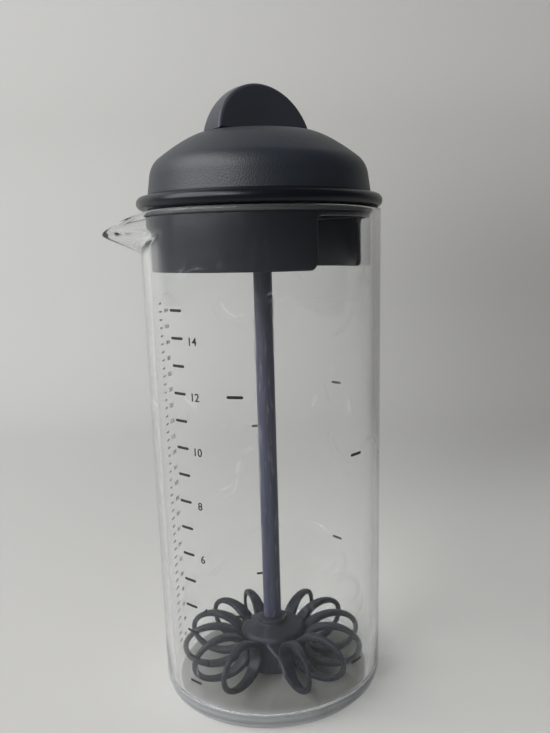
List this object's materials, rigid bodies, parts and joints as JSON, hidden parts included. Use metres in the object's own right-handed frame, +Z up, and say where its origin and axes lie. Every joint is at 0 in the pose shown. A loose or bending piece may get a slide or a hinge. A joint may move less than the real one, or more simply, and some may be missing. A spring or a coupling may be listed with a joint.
{
  "type": "salad dressing shaker",
  "caption": "Clear tapered measuring carafe with a pulled spout, a lift-off black domed lid with a pour window, and a hand plunger with a looped whisk.",
  "frame": {"origin": "on the carafe's axis at its flat underside", "axes": "+Z up along the carafe's axis, -X towards the pouring spout, -Y towards the side with the ounce marks and the lid's pour window"},
  "size_m": [0.0867, 0.0754, 0.1913],
  "materials": {
    "clear_plastic": "clear moulded, lightly scratched",
    "gasket_rubber": "matte translucent grey",
    "black_gloss": "smooth gloss",
    "black_matte": "fine moulded grain",
    "seal_rubber": "matte",
    "stem_plastic": "satin with long draw lines",
    "knob_plastic": "satin",
    "whisk_plastic": "matte moulded"
  },
  "bodies": {
    "base": {"carafe": "clear_plastic"},
    "lid_carrier": {"lid_gasket": "gasket_rubber"},
    "lid": {"lid_collar": "black_gloss", "lid_dome": "black_matte", "seal_retainer": "black_gloss"},
    "seal": {"stem_seal": "seal_rubber"},
    "plunger": {"stem": "stem_plastic", "knob": "knob_plastic", "whisk": "whisk_plastic"}
  },
  "joints": [
    {"name": "lid_lift", "type": "slide", "parent": "base", "child": "lid_carrier", "axis": [0, 0, 1], "range_m": [0, 0.165]},
    {"name": "lid_turn", "type": "hinge", "parent": "lid_carrier", "child": "lid", "pos_m": [0, 0, 0.154], "axis": [0, 0, 1], "continuous": true},
    {"name": "plunger_turn", "type": "hinge", "parent": "lid", "child": "seal", "pos_m": [0, 0, 0.1605], "axis": [0, 0, 1], "continuous": true},
    {"name": "plunger_pump", "type": "slide", "parent": "seal", "child": "plunger", "axis": [0, 0, 1], "range_m": [0, 0.135]}
  ]
}
